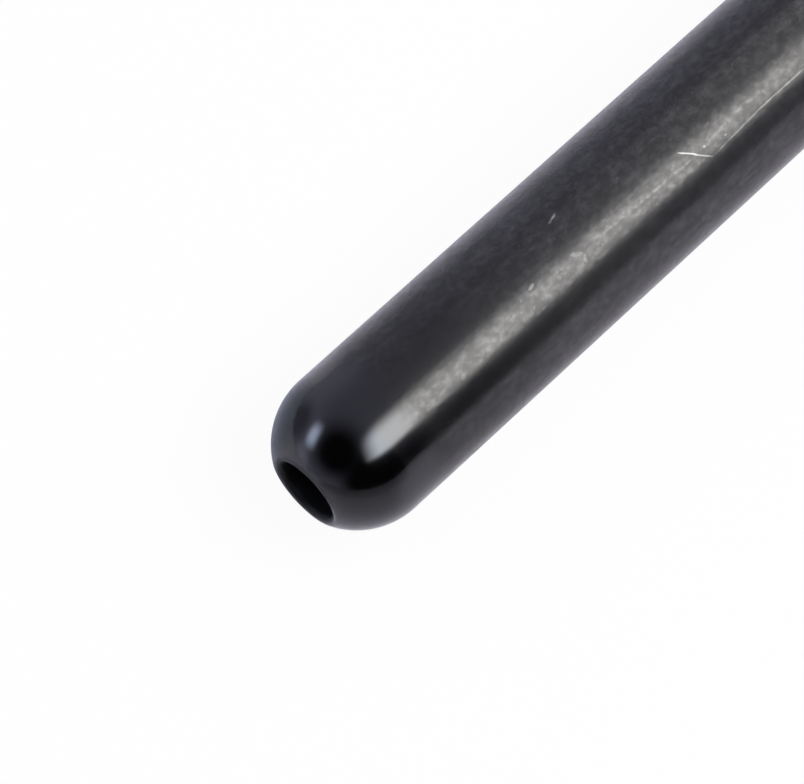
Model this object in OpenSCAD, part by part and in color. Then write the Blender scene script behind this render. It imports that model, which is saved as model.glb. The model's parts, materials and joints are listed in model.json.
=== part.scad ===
// Engine pushrod, one piece: a steel tube whose two ends are formed from its own wall
// into half balls, each pierced by an oil hole with a rolled lip. It lies along X, and
// the origin is on its axis, halfway between the tips. Millimetres.

/* [Tube] */
// Length from tip to tip
overall_length = 198; // [120:0.5:320]
// Outside diameter of the tube, and of the half balls formed from it
tube_d = 7.94; // [6.35:0.01:12.7]
// Wall thickness of the tube between its formed ends
wall = 2.03; // [1.2:0.01:2.6]

/* [Formed ends] */
// Diameter of the oil hole at each tip
oil_hole_d = 3.34; // [1.6:0.02:4]
// Radius of the rolled lip between the half ball and the oil hole
lip_round = 0.3; // [0.1:0.02:0.5]
// Length of the straight oil hole, behind its lip
oil_hole_land = 2.4; // [1:0.1:6]
// Length over which the formed wall narrows the bore to the oil hole
neck_length = 3.2; // [1:0.1:8]

/* [Hidden] */
$fn = 128;

ball_r = tube_d / 2;
bore_r = ball_r - wall;
hole_r = oil_hole_d / 2;

// The lip's circle touches the oil hole's wall and, from inside, the half ball.
lip_r = hole_r + lip_round;
lip_rise = sqrt(pow(ball_r - lip_round, 2) - pow(lip_r, 2));
tip_rise = lip_rise + lip_round;
// Where the half ball hands over to the lip, as a height over the ball's centre
meet_rise = lip_rise * ball_r / (ball_r - lip_round);

// Heights along the axis, counted from the middle of the rod
ball_z = overall_length / 2 - tip_rise;
lip_z = ball_z + lip_rise;
land_z = lip_z - oil_hole_land;
neck_z = land_z - neck_length;
// Square end of the tube before it is formed, at the pole of the full ball
stock_z = ball_z + ball_r;
beyond = overall_length;

oxide_black = [0.16, 0.16, 0.17];

// Half ball with its rolled lip, in section, its centre at the origin and its tip up
module formed_end_section() {
    difference() {
        intersection() {
            circle(r = ball_r);
            square([ball_r, meet_rise]);
        }
        translate([0, lip_rise])
            square([lip_r, ball_r]);
    }
    translate([lip_r, lip_rise])
        circle(r = lip_round);
}

// What forming takes off the square end of the tube, in section, in the same frame
module end_waste_section() {
    difference() {
        square(tube_d);
        formed_end_section();
    }
}

// Oil way in section: the tube's bore, narrowed at each end to the oil hole
module oil_way_section() {
    polygon([
        [0, -beyond], [hole_r, -beyond], [hole_r, -land_z], [bore_r, -neck_z],
        [bore_r, neck_z], [hole_r, land_z], [hole_r, beyond], [0, beyond]
    ]);
}

// Wall of the rod in section, from the axis out, both ends alike
module rod_section() {
    difference() {
        translate([0, -stock_z])
            square([ball_r, 2 * stock_z]);
        for (end = [0, 1])
            mirror([0, end])
                translate([0, ball_z])
                    end_waste_section();
        oil_way_section();
    }
}

module pushrod() {
    color(oxide_black)
        rotate([0, 90, 0])
            rotate_extrude()
                rod_section();
}

pushrod();
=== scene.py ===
# %% [markdown]
# An engine pushrod.
# A pushrod is a straight steel tube that carries the lift of a valve lifter up to a rocker
# arm. This one is a single piece: each end of the tube is formed into a half ball, and a
# small oil hole with a rolled lip pierces the tip. Everything is then blackened in a hot
# oxide bath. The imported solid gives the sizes, and this lesson gives it a fine mesh, its
# finish and the light that shows it.

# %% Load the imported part
import json
import math

import bpy
from mathutils import Matrix, Vector


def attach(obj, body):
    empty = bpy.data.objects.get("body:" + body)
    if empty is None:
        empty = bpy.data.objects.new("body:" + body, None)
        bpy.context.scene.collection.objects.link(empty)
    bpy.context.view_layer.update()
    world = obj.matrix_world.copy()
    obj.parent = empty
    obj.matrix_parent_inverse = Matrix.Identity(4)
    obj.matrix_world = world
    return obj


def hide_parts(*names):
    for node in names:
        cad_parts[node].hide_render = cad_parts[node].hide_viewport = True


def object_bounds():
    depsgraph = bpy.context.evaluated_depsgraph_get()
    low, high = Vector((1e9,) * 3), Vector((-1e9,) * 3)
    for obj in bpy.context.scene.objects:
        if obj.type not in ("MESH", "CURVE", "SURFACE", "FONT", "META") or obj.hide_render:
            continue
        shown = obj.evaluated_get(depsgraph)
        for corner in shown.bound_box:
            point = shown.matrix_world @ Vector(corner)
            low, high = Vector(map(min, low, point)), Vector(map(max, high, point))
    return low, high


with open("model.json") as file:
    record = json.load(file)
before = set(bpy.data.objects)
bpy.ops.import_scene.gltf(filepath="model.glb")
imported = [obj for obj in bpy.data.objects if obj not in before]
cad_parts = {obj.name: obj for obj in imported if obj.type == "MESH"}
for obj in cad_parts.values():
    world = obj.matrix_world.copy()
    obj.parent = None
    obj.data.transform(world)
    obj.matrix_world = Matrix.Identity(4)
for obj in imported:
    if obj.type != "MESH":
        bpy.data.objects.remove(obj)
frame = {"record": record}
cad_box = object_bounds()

print("CAD box", [tuple(round(c, 5) for c in corner) for corner in cad_box])

# %% [markdown]
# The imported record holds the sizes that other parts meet: the tube's radius, the oil hole
# and the centre of each ball. The rolled lip isn't listed, but it follows from them. Its
# circle touches the oil hole's wall and the inside of the ball, and its top is the tip, so
# its radius is the root of a quadratic. Only the hidden bore needs sizes of its own.

# %% Read the sizes
MM = 0.001
TUBE_WALL = 2.03 * MM
NECK_LENGTH = 3.2 * MM

mounts = {mount["name"]: mount for mount in frame["record"]["mounts"]}
tube_radius = mounts["shank"]["dims"]["r_mm"] * MM
hole_radius = mounts["lifter_end_oil_hole"]["dims"]["r_mm"] * MM
hole_length = mounts["lifter_end_oil_hole"]["dims"]["length_mm"] * MM
ball_x = mounts["lifter_end_ball"]["pos_m"][0]
half_length = cad_box[1].x
bore_radius = tube_radius - TUBE_WALL

tip_rise = half_length - abs(ball_x)
room = tube_radius + hole_radius - tip_rise
lip_round = math.sqrt(room ** 2 + tube_radius ** 2 - hole_radius ** 2 - tip_rise ** 2) - room
lip_radius = hole_radius + lip_round
lip_rise = tip_rise - lip_round
print(f"tube radius {tube_radius / MM:.2f} mm, lip {lip_round / MM:.3f} mm, ball at {ball_x / MM:.2f} mm")

# %% [markdown]
# The camera comes next, because the photograph settles it. A close-up of a round bar gives
# its own lens: the bar narrows with distance, and the ball's outline fixes the scale. The
# bar rises to the right in the picture and leans out of it at the near end. Those two
# angles, with the bar lying level, give the camera's turn and height.

# %% Set the camera
PHOTO_WIDTH = 804
PHOTO_HEIGHT = 784
FOCAL_PIXELS = 3575
BALL_PIXEL = (356.85, 444.4)
BALL_DEPTH = 165 * MM
RISE_IN_PICTURE = math.radians(42.18)
LEAN_TO_CAMERA = math.radians(19)
SENSOR_WIDTH = 36
NEAREST_SEEN = 10 * MM

camera_height = math.atan(math.sin(RISE_IN_PICTURE) / math.tan(LEAN_TO_CAMERA))
camera_turn = -math.acos(math.cos(LEAN_TO_CAMERA) * math.cos(RISE_IN_PICTURE))
right = Vector((math.cos(camera_turn), math.sin(camera_turn), 0))
toward_camera = Vector((
    math.sin(camera_turn) * math.cos(camera_height),
    -math.cos(camera_turn) * math.cos(camera_height),
    math.sin(camera_height),
))
up = toward_camera.cross(right)
ball_centre = Vector((ball_x, 0, 0))
ball_right = (BALL_PIXEL[0] - PHOTO_WIDTH / 2) / FOCAL_PIXELS * BALL_DEPTH
ball_down = (BALL_PIXEL[1] - PHOTO_HEIGHT / 2) / FOCAL_PIXELS * BALL_DEPTH

bpy.ops.object.camera_add(
    location=ball_centre - ball_right * right + ball_down * up + BALL_DEPTH * toward_camera,
    rotation=(math.pi / 2 - camera_height, 0, camera_turn),
)
camera = bpy.context.object
camera.data.sensor_width = SENSOR_WIDTH
camera.data.lens = FOCAL_PIXELS * SENSOR_WIDTH / PHOTO_WIDTH
camera.data.clip_start = NEAREST_SEEN
bpy.context.scene.camera = camera
bpy.context.scene.view_settings.view_transform = "Standard"
print(f"camera turn {math.degrees(camera_turn):.1f}, height {math.degrees(camera_height):.1f} degrees")

# %% [markdown]
# The rod is round all over, so half of its wall is drawn once in section and spun about
# the axis. The pen is a plane merged to one vertex. A straight stretch is an extrude, and
# an arc is a spin of that vertex about the arc's centre, so the ball and the lip stay true
# circles that meet without a corner.

# %% Draw half of the wall in section
SHANK_CUTS = 12
BALL_STEPS = 36
LIP_STEPS = 24
HOLE_CUTS = 2


def draw_line(along, outward, cuts=1):
    """Extrudes the pen in equal steps, along the axis and away from it."""
    for _ in range(cuts):
        bpy.ops.mesh.extrude_region_move(
            TRANSFORM_OT_translate={"value": (along / cuts, 0, outward / cuts)}
        )


def draw_arc(x, z, angle, steps):
    """Spins the pen about a centre in the plane of the section."""
    bpy.ops.mesh.spin(steps=steps, angle=angle, center=(x, 0, z), axis=(0, 1, 0))


bpy.ops.object.select_all(action="DESELECT")
bpy.ops.mesh.primitive_plane_add(size=tube_radius)
rod = bpy.context.object
rod.name = "pushrod_black_oxide"
bpy.ops.object.mode_set(mode="EDIT")
bpy.ops.mesh.select_all(action="SELECT")
bpy.ops.mesh.merge(type="CENTER")
bpy.ops.transform.translate(value=(0, 0, tube_radius))

ball_angle = math.asin(lip_rise / (tube_radius - lip_round))
lip_x = ball_x - lip_rise
neck_x = lip_x + hole_length + NECK_LENGTH
draw_line(ball_x, 0, SHANK_CUTS)
draw_arc(ball_x, 0, ball_angle, BALL_STEPS)
draw_arc(lip_x, lip_radius, math.pi - ball_angle, LIP_STEPS)
draw_line(hole_length, 0, HOLE_CUTS)
draw_line(NECK_LENGTH, bore_radius - hole_radius, HOLE_CUTS)
draw_line(-neck_x, 0, SHANK_CUTS)
print(f"the ball turns {math.degrees(ball_angle):.1f} degrees before the lip")

# %% [markdown]
# One full spin makes the wall, and a mirror makes the far end like the near one. Merging
# comes before the normals are turned outwards. Smooth shading averages the faces round
# each vertex, and the long faces of the tube should win that vote where the ball begins,
# so the normals are weighted by area.

# %% Spin and mirror the rod
ROUND_STEPS = 192
MICRON = 0.001 * MM
SMOOTH_UNDER = math.radians(30)

bpy.ops.mesh.select_all(action="SELECT")
bpy.ops.mesh.spin(steps=ROUND_STEPS, angle=math.tau, center=(0, 0, 0), axis=(1, 0, 0))
bpy.ops.object.mode_set(mode="OBJECT")
mirror = rod.modifiers.new("far_end", "MIRROR")
mirror.merge_threshold = MICRON
bpy.ops.object.modifier_apply(modifier=mirror.name)
bpy.ops.object.mode_set(mode="EDIT")
bpy.ops.mesh.select_all(action="SELECT")
bpy.ops.mesh.remove_doubles(threshold=MICRON)
bpy.ops.mesh.normals_make_consistent(inside=False)
bpy.ops.object.mode_set(mode="OBJECT")
bpy.ops.object.shade_smooth_by_angle(angle=SMOOTH_UNDER)
weighted = rod.modifiers.new("even_normals", "WEIGHTED_NORMAL")
bpy.ops.object.modifier_apply(modifier=weighted.name)
print(len(rod.data.vertices), "vertices,", len(rod.data.polygons), "faces")

# %% [markdown]
# A finish is easier to read as sums than as a web of nodes. This class wraps a socket so
# that it adds and multiplies as a number does, with one Math node for each sign. Any other
# node comes from its node method, which sets the node up first and then fills its sockets.

# %% Wrap a socket
class Socket:
    """A socket in a node tree that takes part in sums."""

    def __init__(self, tree, socket=None):
        self.tree = tree
        self.socket = socket

    def node(self, kind, settings=None, inputs=None, output=0):
        """Adds a node: its settings first, then the values or links of its sockets."""
        made = self.tree.nodes.new(kind)
        for name, value in (settings or {}).items():
            setattr(made, name, value)
        for name, value in (inputs or {}).items():
            if isinstance(value, Socket):
                self.tree.links.new(value.socket, made.inputs[name])
            else:
                made.inputs[name].default_value = value
        return Socket(self.tree, made.outputs[output] if made.outputs else None)

    def math(self, operation, *values):
        return self.node("ShaderNodeMath", {"operation": operation}, dict(enumerate(values)))

    def __add__(self, other):
        return self.math("ADD", self, other)

    def __sub__(self, other):
        return self.math("SUBTRACT", self, other)

    def __mul__(self, other):
        return self.math("MULTIPLY", self, other)

    def __truediv__(self, other):
        return self.math("DIVIDE", self, other)

    def __rsub__(self, other):
        return self.math("SUBTRACT", other, self)

    __radd__ = __add__
    __rmul__ = __mul__

    def step(self, start, end):
        """Rises smoothly from 0 at start to 1 at end, or falls if start is the larger."""
        low, high = min(start, end), max(start, end)
        rise = self.node(
            "ShaderNodeMapRange",
            {"interpolation_type": "SMOOTHSTEP"},
            {"Value": self, "From Min": low, "From Max": high},
        )
        return rise if start < end else 1 - rise


def blend(factor, first, second):
    """The first number where factor is 0, the second where it is 1."""
    return first + factor * (second - first)


def blend_colour(factor, first, second):
    """The same for colours, through a Mix node."""
    inputs = {"Factor": factor, 6: first, 7: second}
    return factor.node("ShaderNodeMix", {"data_type": "RGBA"}, inputs, output=2)


def new_material(name):
    """A material with no nodes but its output, and an empty socket in its tree."""
    material = bpy.data.materials.new(name)
    material.use_nodes = True
    material.node_tree.nodes.clear()
    return material, Socket(material.node_tree)


def show(shader):
    """Links a shader to the output of its tree."""
    shader.node("ShaderNodeOutputMaterial", None, {"Surface": shader})


print("sockets add up")

# %% [markdown]
# Black oxide is a thin skin of iron oxide on steel. It reflects as a very dark metal does,
# so it is mostly a metal here, with a base colour near black, and its look is nearly all
# reflection. The ball ends are burnished and give clean reflections. The drawn tube is
# satin, and a small share of it scatters light as a dull skin does. The shader measures in
# millimetres: from the tip, from the axis, and round the tube as a turn from the top. The
# oil hole is dull, and from the crest of its lip inward its colour is darkened as painted
# shade. That painted shade starts further in on the lower lip, so the upper lip is darker.

# %% Measure along the rod
BURNISHED_TO = 4.0
SATIN_FROM = 5.7
SATIN_TO = 8.0
DULL_FROM = 15.0
# Painted shade: on the lower lip the hole's darker colour starts further in, over these heights.
SHADE_INSET_FROM = 1.8
SHADE_INSET_TO = 0.0
SHADE_INSET_SHARE = 0.8
CREST_SHARES = (0.9, 0.1)

oxide, start = new_material("black_oxide")
place = start.node("ShaderNodeTexCoord", output="Object")
place_mm = start.node("ShaderNodeVectorMath", {"operation": "SCALE"}, {0: place, "Scale": 1 / MM})
along, side, height = (
    start.node("ShaderNodeSeparateXYZ", None, {0: place_mm}, output=axis) for axis in "XYZ"
)
from_near_tip = along + half_length / MM
from_tip = half_length / MM - start.math("ABSOLUTE", along)
from_axis = start.math("SQRT", side * side + height * height)
round_tube = start.math("ARCTAN2", -1 * side, height) * (tube_radius / MM)
burnished = from_tip.step(SATIN_FROM, BURNISHED_TO)
dull = from_tip.step(SATIN_TO, DULL_FROM)
# Painted shade reaches further out on the upper lip than on the lower one.
lower_lip_shade_inset = height.step(SHADE_INSET_FROM, SHADE_INSET_TO) * (SHADE_INSET_SHARE * lip_round / MM)
crest = [(lip_radius + share * lip_round) / MM for share in CREST_SHARES]
# The oil hole, with painted shade from the crest of its lip inward.
inside = (from_axis + lower_lip_shade_inset).step(*crest)
print(f"the burnished ends fade out {BURNISHED_TO} to {SATIN_FROM} mm from the tip")

# %% [markdown]
# Five noises break up the satin: a fine grain from the oxide's crystals, bright specks among
# them, a mottle of small dents, thin lines from drawing the tube, and blotches where the
# bath took unevenly. The scale counts features to a millimetre. The specks are only the
# tops of their noise, and only the dull part of the tube has them.

# %% Make grain, specks, mottle, lines and blotches
def noise(stretch, scale, detail):
    """Noise round 0 over the rod, its features drawn out along the axis by stretch."""
    pulled = start.node(
        "ShaderNodeMapping", None, {"Vector": place_mm, "Scale": (1 / stretch, 1, 1)}
    )
    inputs = {"Vector": pulled, "Scale": scale, "Detail": detail}
    return start.node("ShaderNodeTexNoise", None, inputs) - 0.5


SPECK_EDGES = (0.12, 0.26)

grain = noise(stretch=1.3, scale=3.4, detail=3)
specks = noise(stretch=1.2, scale=7.0, detail=1).step(*SPECK_EDGES) * dull
mottle = noise(stretch=1.6, scale=1.7, detail=2)
drawn_lines = noise(stretch=30.0, scale=5.0, detail=2)
blotches = noise(stretch=2.0, scale=0.8, detail=3)
print("five noises made")

# %% [markdown]
# A used rod carries a few marks. The long scratch crosses the highlight and turns into a
# fine line along the tube. A nick on the dark side and some short dashes show bare steel.
# Each mark is a stroke between two places that thins toward its ends. The noises make it
# waver and break it into beads. Marks could be cut into the mesh, but these are rubs with
# no depth to see, so a mask is enough. Where two cross, the barer one shows.

# %% Scratch the finish
BLOTCH_WAVER = 0.12
MOTTLE_WAVER = 0.05
END_THICKNESS = 0.45
THICK_FROM = 0.18
EDGE_SHARES = (0.7, 0.15)
BEAD_MOTTLE = 0.4
BEAD_EDGES = (-0.12, 0.16)


def mark(first, last, width, bare, bow=0.0, beads=0.3):
    """A stroke between two places, each as mm from the near tip and degrees of turn."""
    turn_start, turn_end = (math.radians(spot[1]) * tube_radius / MM for spot in (first, last))
    step_along, step_round = last[0] - first[0], turn_end - turn_start
    length = math.hypot(step_along, step_round)
    off_along, off_round = from_near_tip - first[0], round_tube - turn_start
    forward = (off_along * step_along + off_round * step_round) / length
    sideways = (off_along * step_round - off_round * step_along) / length
    share = start.math("MINIMUM", start.math("MAXIMUM", forward / length, 0.0), 1.0)
    curve = share * (1 - share)
    waver = BLOTCH_WAVER * blotches + MOTTLE_WAVER * mottle
    sideways = sideways + 4 * bow * curve + waver
    past = forward - share * length
    distance = start.math("SQRT", past * past + sideways * sideways)
    thickness = blend(curve.step(0, THICK_FROM), END_THICKNESS, 1.0)
    stroke = (distance / thickness).step(*(part * width for part in EDGE_SHARES))
    beading = 2 * (grain + BEAD_MOTTLE * mottle).step(*BEAD_EDGES)
    return stroke * bare * blend(beads, 1.0, beading)


marks = [
    # The long scratch and the line that it turns into
    mark((23.5, 19.5), (24.2, 29.0), 0.085, 0.46, beads=0.15),
    mark((23.9, 25.0), (24.8, 37.5), 0.085, 0.34, bow=0.02, beads=0.2),
    mark((24.8, 37.5), (28.4, 34.8), 0.08, 0.15, beads=0.3),
    mark((28.0, 35.0), (31.6, 34.8), 0.08, 0.19, beads=0.2),
    # Faint lines along the highlight
    mark((17.7, 25.7), (23.7, 29.2), 0.18, 0.05, beads=0.45),
    mark((24.7, 28.0), (29.0, 26.9), 0.16, 0.035, bow=-0.12, beads=0.8),
    # Rubbed dashes on the highlight
    mark((16.0, 22.4), (16.5, 26.4), 0.22, 0.09, beads=0.0),
    mark((16.55, 27.6), (16.4, 33.0), 0.2, 0.075, bow=0.03, beads=0.1),
    mark((13.3, 20.4), (13.65, 19.6), 0.17, 0.2, beads=0.0),
    # The nick on the dark side, in two strokes
    mark((16.38, -4.3), (16.62, -5.6), 0.12, 0.4, bow=0.03),
    mark((16.6, -5.2), (16.95, -6.3), 0.13, 0.7, beads=0.4),
    # Two bright dots beside the scratch
    mark((26.0, 32.0), (26.0, 32.5), 0.17, 0.22),
    mark((24.7, 28.3), (24.8, 28.7), 0.15, 0.16),
    # Short rubs near the end
    mark((9.8, 31.6), (10.05, 30.7), 0.26, 0.055, beads=0.0),
    mark((10.3, 29.9), (10.55, 29.0), 0.24, 0.05, beads=0.0),
    mark((10.8, 30.0), (11.05, 29.2), 0.24, 0.045, beads=0.0),
    mark((11.2, 29.6), (12.2, 25.5), 0.22, 0.035, beads=0.5),
    mark((8.0, 34.2), (8.25, 33.4), 0.26, 0.04, beads=0.0),
]
bare_steel = marks[0]
for stroke in marks[1:]:
    bare_steel = start.math("MAXIMUM", bare_steel, stroke)
print(len(marks), "marks scratched")

# %% [markdown]
# The skin is coloured in layers, in the order that the rod got them: the mottled tube, the
# burnished ends, the dull hole with its painted shade, and last the bare steel of the marks.
# The noises add up to pale and dark patches. Their dark side is cut short, because deep
# spots would look like pits. The satin near the end is more even in colour than the dull tube.

# %% Colour the skin
GRAIN_SHARE = 1.35
MOTTLE_SHARE = 0.95
LINE_SHARE = 0.4
BLOTCH_SHARE = 0.4
DARKEST_PATCH = -0.16
MEAN_SHADE = 0.455
SATIN_SHADE = 0.62
TUBE_DARK = (0.0265, 0.0253, 0.0246, 1)
TUBE_LIGHT = (0.0845, 0.0838, 0.0800, 1)
BALL_COLOUR = (0.0726, 0.0729, 0.0732, 1)
BURNISHING = 0.94
# The bore's dull oxide, painted darker as shade in the hole.
BORE_AND_SHADE_COLOUR = (0.018, 0.018, 0.019, 1)
STEEL_COLOUR = (0.46, 0.45, 0.43, 1)
SPECK_BARE = 0.06

patches = GRAIN_SHARE * grain + MOTTLE_SHARE * mottle + LINE_SHARE * drawn_lines + BLOTCH_SHARE * blotches
patches = start.math("MAXIMUM", patches, DARKEST_PATCH)
shade = MEAN_SHADE + blend(dull, SATIN_SHADE, 1.0) * patches
bare_steel = start.math("MAXIMUM", bare_steel, SPECK_BARE * specks)
colour = blend_colour(shade, TUBE_DARK, TUBE_LIGHT)
colour = blend_colour(BURNISHING * burnished, colour, BALL_COLOUR)
# The hole and its lip take painted shade.
colour = blend_colour(inside, colour, BORE_AND_SHADE_COLOUR)
colour = blend_colour(bare_steel, colour, STEEL_COLOUR)
print("tube from", TUBE_DARK[:3], "to", TUBE_LIGHT[:3])

# %% [markdown]
# A pale patch is also a glossy one. In the highlight the two add up and it sparkles, and
# beside it they cancel, so the dark sides stay quiet. The satin is more even in colour, so
# its sparkle needs more gloss. A share that isn't metal scatters light all round, which
# gives the dull tube its haze.

# %% Polish the skin
BALL_ROUGHNESS = 0.135
TUBE_ROUGHNESS = 0.218
DULL_ROUGHNESS = 0.235
BORE_ROUGHNESS = 0.5
SATIN_GLOSS = 0.19
DULL_GLOSS = 0.065
SPECK_GLOSS = 0.04
TUBE_METALLIC = 0.92
DULL_METALLIC = 0.73
BORE_METALLIC = 0.75

roughness = blend(dull, TUBE_ROUGHNESS, DULL_ROUGHNESS)
roughness = roughness - blend(dull, SATIN_GLOSS, DULL_GLOSS) * patches - SPECK_GLOSS * specks
roughness = blend(burnished, roughness, BALL_ROUGHNESS)
roughness = blend(inside, roughness, BORE_ROUGHNESS)
metallic = blend(burnished, blend(dull, TUBE_METALLIC, DULL_METALLIC), 1.0)
metallic = blend(inside, metallic, BORE_METALLIC)
print("roughness", BALL_ROUGHNESS, "on the ball and", TUBE_ROUGHNESS, "to", DULL_ROUGHNESS, "on the tube")

# %% [markdown]
# The relief is a few microns of bump, because the grain is far finer than the mesh. The
# burnished ends have hardly any. Then one shader takes all four results.

# %% Raise the grain and mix the finish
GRAIN_MICRONS = 2.0
DULL_GRAIN_MICRONS = 4.6
MOTTLE_MICRONS = 1.8
LINE_MICRONS = 1.5
BALL_RELIEF = 0.05

relief = blend(dull, GRAIN_MICRONS, DULL_GRAIN_MICRONS) * grain
relief = relief + MOTTLE_MICRONS * mottle + LINE_MICRONS * drawn_lines
relief = relief * blend(burnished, 1.0, BALL_RELIEF)
normal = start.node("ShaderNodeBump", None, {"Height": relief, "Distance": MICRON})
show(start.node("ShaderNodeBsdfPrincipled", None, {
    "Base Color": colour,
    "Metallic": metallic,
    "Roughness": roughness,
    "Normal": normal,
}))
rod.data.materials.append(oxide)
print("black oxide has", len(oxide.node_tree.nodes), "nodes")

# %% [markdown]
# The stage is a small studio: a white floor, a pale cloth tent and soft boxes. The floor
# shows white to the camera and pale to reflections through its Light Path, and keeps some
# plain diffuse so that the rod's shadow stays. The world is white where the floor ends.

# %% Lay the floor
STUDIO_RADIUS = 1.5
FLOOR_SIDES = 96
FLOOR_COLOUR = (0.985, 0.935, 0.985, 1)
WHITE = (1, 1, 1, 1)
CAMERA_GLOW = 0.95
GLOSSY_GLOW = 0.1

world = bpy.data.worlds.new("white_backdrop")
world.use_nodes = True
world.node_tree.nodes["Background"].inputs["Color"].default_value = WHITE
bpy.context.scene.world = world

floor_height = cad_box[0].z
bpy.ops.object.select_all(action="DESELECT")
bpy.ops.mesh.primitive_circle_add(
    vertices=FLOOR_SIDES, radius=STUDIO_RADIUS, fill_type="NGON", location=(0, 0, floor_height)
)
floor = bpy.context.object
floor.name = "studio_floor"
paper, start = new_material("white_paper")
camera_ray, glossy_ray, through_ray = (
    start.node("ShaderNodeLightPath", output=f"Is {ray} Ray")
    for ray in ("Camera", "Glossy", "Transmission")
)
glow_share = start.math("MAXIMUM", camera_ray, through_ray) * CAMERA_GLOW
glow_share = start.math("MAXIMUM", glow_share, glossy_ray * GLOSSY_GLOW)
diffuse = start.node("ShaderNodeBsdfDiffuse", None, {"Color": FLOOR_COLOUR})
glow = start.node("ShaderNodeEmission", None, {"Color": WHITE, "Strength": 1.0})
show(start.node("ShaderNodeMixShader", None, {0: glow_share, 1: diffuse, 2: glow}))
floor.data.materials.append(paper)
print("floor at", round(floor.location.z, 5))

# %% [markdown]
# The tent's cloth is palest low down, where it sweeps into the floor. Two dark openings
# give the rod its dark band and the black crescent on the ball: one high beyond the near
# end, and one low in front, where the camera looks in. A dim patch and a pale one low
# behind the ball vary its rim. Each is a cone round a direction from the near ball, with an
# inner and an outer edge, all in degrees. The tent is hidden from the camera only.

# %% Hang the tent
CLOTH_COLOUR = (0.905, 0.915, 1.18)
CLOTH_TOP = 0.41
CLOTH_SIDE = 0.67
DARKNESS = 0.012
DIMNESS = 0.26
PALENESS = 1.15
CLOTH_FADE = (0.3, 0.95)
DIM_PATCH = ((113, 81), (8, 28))
PALE_PATCH = ((149, 86), (3, 17))
TIP_OPENING = ((188, 45), (17, 57))
FRONT_OPENING = ((253, 81), (32, 60))
TENT_SEGMENTS = 64


def direction(azimuth, zenith):
    """A unit vector from two angles in degrees: round from +X, and down from straight up."""
    turn, tilt = math.radians(azimuth), math.radians(zenith)
    flat = Vector((math.cos(turn), math.sin(turn), 0)) * math.sin(tilt)
    return flat + Vector((0, 0, math.cos(tilt)))


def outside_cone(spot, axis, edges):
    """0 within the inner edge of a cone round a direction and 1 beyond its outer edge."""
    cosine = spot.node(
        "ShaderNodeVectorMath", {"operation": "DOT_PRODUCT"}, {0: spot, 1: direction(*axis)}, "Value"
    )
    return spot.math("ARCCOSINE", cosine).step(*(math.radians(edge) for edge in edges))


bpy.ops.object.select_all(action="DESELECT")
bpy.ops.mesh.primitive_uv_sphere_add(
    segments=TENT_SEGMENTS, ring_count=TENT_SEGMENTS // 2, radius=STUDIO_RADIUS, location=ball_centre
)
tent = bpy.context.object
tent.name = "studio_tent"
bpy.ops.object.mode_set(mode="EDIT")
bpy.ops.mesh.select_all(action="SELECT")
bpy.ops.mesh.bisect(plane_co=(0, 0, floor_height), plane_no=(0, 0, 1), clear_inner=True)
bpy.ops.object.mode_set(mode="OBJECT")
tent.visible_camera = False
cloth, start = new_material("pale_cloth")
place = start.node("ShaderNodeTexCoord", output="Object")
way = start.node("ShaderNodeVectorMath", {"operation": "NORMALIZE"}, {0: place})
rise = start.node("ShaderNodeSeparateXYZ", None, {0: way}, output="Z")
level = blend(rise.step(*CLOTH_FADE), CLOTH_SIDE, CLOTH_TOP)
level = blend(outside_cone(way, *DIM_PATCH), DIMNESS, level)
level = blend(outside_cone(way, *PALE_PATCH), PALENESS, level)
closed = outside_cone(way, *TIP_OPENING) * outside_cone(way, *FRONT_OPENING)
level = blend(closed, DARKNESS, level)
tint = start.node(
    "ShaderNodeVectorMath", {"operation": "SCALE"}, {0: CLOTH_COLOUR, "Scale": level}
)
show(start.node("ShaderNodeEmission", None, {"Color": tint, "Strength": 1.0}))
tent.data.materials.append(cloth)
cloth.cycles.emission_sampling = "NONE"
print("tent radius", STUDIO_RADIUS)

# %% [markdown]
# Two cards on the floor hold painted shadows. The first paints the camera's shadow: it
# darkens the floor between the ball and the camera, and more so far off, so the ball's
# underside fades from grey to black. The second paints the soft, bluish shadow that the
# key throws behind the ball. They lie at two heights, since faces in one plane would
# flicker. Each thins to nothing toward the rod and toward its sides, and only reflections
# see it. A wedge is how much it covers, where it starts and is full, in millimetres, and
# how far it spreads sideways for each millimetre ahead.

# %% Lay two cards of painted shadow
CARD_SIZE = 2.8
# Colours of painted shadow on the floor: the camera's is black.
CAMERA_SHADOW_COLOUR = (0.02, 0.02, 0.02, 1)
# Colour of the key's painted shadow behind the ball, bluish.
KEY_SHADOW_COLOUR = (0.10, 0.24, 0.37, 1)
NEAR_WEDGE = (0.33, (2, 12), (1.1, 0.38))
FAR_WEDGE = (0.62, (0, 45), (1.6, 1.1))
SHADOW_WEDGE = (0.4, (-3, 9), (0.6, 0.2))
LEAST_AHEAD = 0.1


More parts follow.
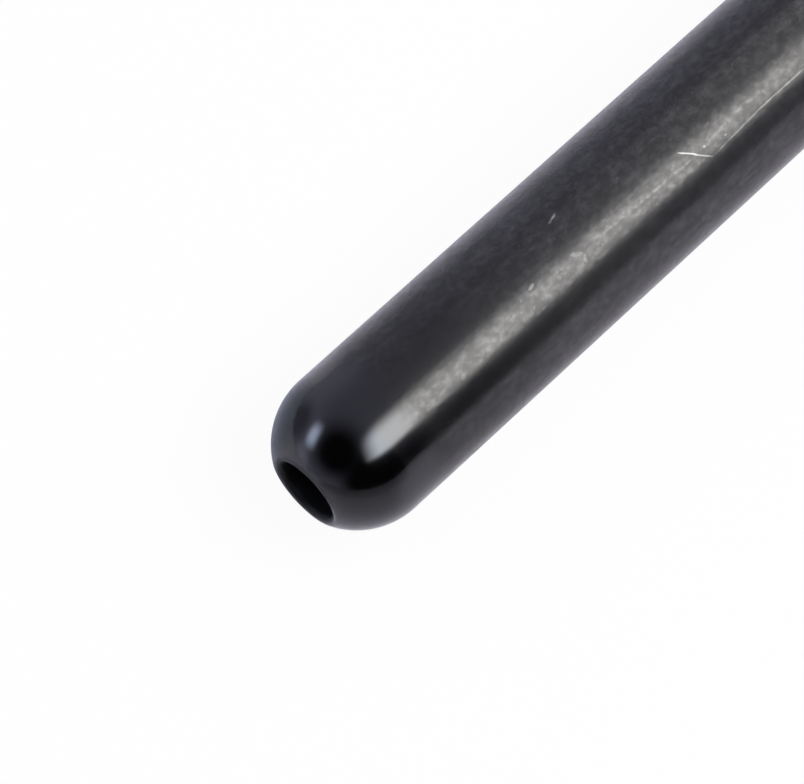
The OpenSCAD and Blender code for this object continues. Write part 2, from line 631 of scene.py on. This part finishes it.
def paint_floor_shadow(name, colour, lift, turn, *wedges):
    """A card of painted shadow on the floor, turned by an angle in degrees, that darkens in wedges."""
    bpy.ops.object.select_all(action="DESELECT")
    bpy.ops.mesh.primitive_plane_add(
        size=CARD_SIZE, location=(ball_x, 0, floor_height + lift), rotation=(0, 0, math.radians(turn))
    )
    card = bpy.context.object
    card.name = name
    card.visible_camera = False
    card.visible_diffuse = False
    card.visible_shadow = False
    shadow_paint, start = new_material(name + "_paint")
    place = start.node("ShaderNodeTexCoord", output="Object")
    ahead, beside = (
        start.node("ShaderNodeSeparateXYZ", None, {0: place}, output=axis) / MM for axis in "XY"
    )
    uncovered = 1.0
    for share, way_out, spread in wedges:
        reach = start.math("MAXIMUM", ahead - way_out[0], LEAST_AHEAD)
        slope = start.math("ABSOLUTE", beside) / reach
        uncovered = uncovered * (1 - share * ahead.step(*way_out) * slope.step(*spread))
    clear = start.node("ShaderNodeBsdfTransparent")
    shadow_face = start.node("ShaderNodeBsdfDiffuse", None, {"Color": colour})
    show(start.node("ShaderNodeMixShader", None, {0: uncovered, 1: shadow_face, 2: clear}))
    card.data.materials.append(shadow_paint)
    print(name, "reaches", CARD_SIZE / 2, "m")


FRONT_LIFT = 0.3 * MM
SHADOW_LIFT = 0.15 * MM
FRONT_TURN = 236
SHADOW_TURN = 105

# Painted shadow of the camera on the floor in front of the ball.
paint_floor_shadow("camera_shadow_sheet", CAMERA_SHADOW_COLOUR, FRONT_LIFT, FRONT_TURN, NEAR_WEDGE, FAR_WEDGE)
# Painted shadow of the key behind the ball.
paint_floor_shadow("shadow_card", KEY_SHADOW_COLOUR, SHADOW_LIFT, SHADOW_TURN, SHADOW_WEDGE)

# %% [markdown]
# Three lit sheets of cloth do the rest. The long key makes the bright stripe. Toward the
# near end it dims slowly, narrows and turns a little cooler, and its end is cut on a slant,
# so the stripe's end is too. The bluish fill makes the small spot on the ball. A weak
# bounce card above the far end lifts the tube's upper side there. Lamps would do for the
# light, but a metal shows the shape of what lights it, so each is a sheet with soft edges:
# the share of its length that fades at each end, and of its width that fades at two rims.

# %% Light the soft boxes
TINT_ENDS = (0.38, 0.52)


def soft_box(name, centre, aim, length, size, soft, colours, strength, slant=0.0, taper=0.0):
    """A lit sheet that faces aim, long in the direction length, with a colour for each end."""
    facing = (aim - centre).normalized()
    lengthwise = (length - length.dot(facing) * facing).normalized()
    turn = Matrix((lengthwise, facing.cross(lengthwise), facing)).transposed().to_euler()
    bpy.ops.object.select_all(action="DESELECT")
    bpy.ops.mesh.primitive_plane_add(size=1, location=centre, rotation=turn)
    box = bpy.context.object
    box.name = name
    box.scale = (*size, 1)
    box.visible_camera = False
    material, start = new_material(name + "_cloth")
    spot = start.node("ShaderNodeTexCoord", output="UV")
    lengthways, widthways = (
        start.node("ShaderNodeSeparateXYZ", None, {0: spot}, output=axis) - 0.5 for axis in "XY"
    )
    widthways = widthways * (1 - taper * lengthways)
    from_end = 0.5 - start.math("ABSOLUTE", lengthways + slant * widthways)
    share = from_end.step(0, soft[0])
    share = share * (0.5 + widthways).step(0, soft[1]) * (0.5 - widthways).step(0, soft[2])
    clear = start.node("ShaderNodeBsdfTransparent")
    colour = blend_colour((0.5 + lengthways).step(*TINT_ENDS), *colours)
    light = start.node("ShaderNodeEmission", None, {"Color": colour, "Strength": strength})
    show(start.node("ShaderNodeMixShader", None, {0: share, 1: clear, 2: light}))
    box.data.materials.append(material)
    print(name, "at", [round(c, 3) for c in box.location])


KEY_DISTANCE = 0.6
FILL_DISTANCE = 1.0
BOUNCE_DISTANCE = 0.65
COOL_WHITE = (0.94, 1.0, 1.09, 1)
FILL_COLOUR = (0.80, 0.905, 1.19, 1)
BOUNCE_COLOUR = (0.99, 0.96, 1.06, 1)

along_rod = Vector((1, 0, 0))
over_rod = Vector((0.104, 0, 0))
past_far_end = Vector((0.39, 0, 0))
soft_box(
    "key_soft_box", over_rod + KEY_DISTANCE * direction(270, 33.8), over_rod, along_rod,
    size=(0.91, 0.5), soft=(0.38, 0.445, 0.18),
    colours=(COOL_WHITE, WHITE), strength=6.27, slant=0.18, taper=0.6,
)
soft_box(
    "fill_soft_box", ball_centre + FILL_DISTANCE * direction(138, 59), ball_centre,
    direction(118, 42) - direction(152, 74),
    size=(0.76, 0.41), soft=(0.45, 0.45, 0.45),
    colours=(FILL_COLOUR, FILL_COLOUR), strength=4.4,
)
soft_box(
    "bounce_card", past_far_end + BOUNCE_DISTANCE * direction(90, 7), past_far_end, along_rod,
    size=(0.44, 0.66), soft=(0.14, 0.04, 0.15),
    colours=(BOUNCE_COLOUR, BOUNCE_COLOUR), strength=1.25, slant=0.2,
)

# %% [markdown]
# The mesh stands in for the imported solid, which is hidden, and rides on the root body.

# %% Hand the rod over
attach(rod, "root")
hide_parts("pushrod")
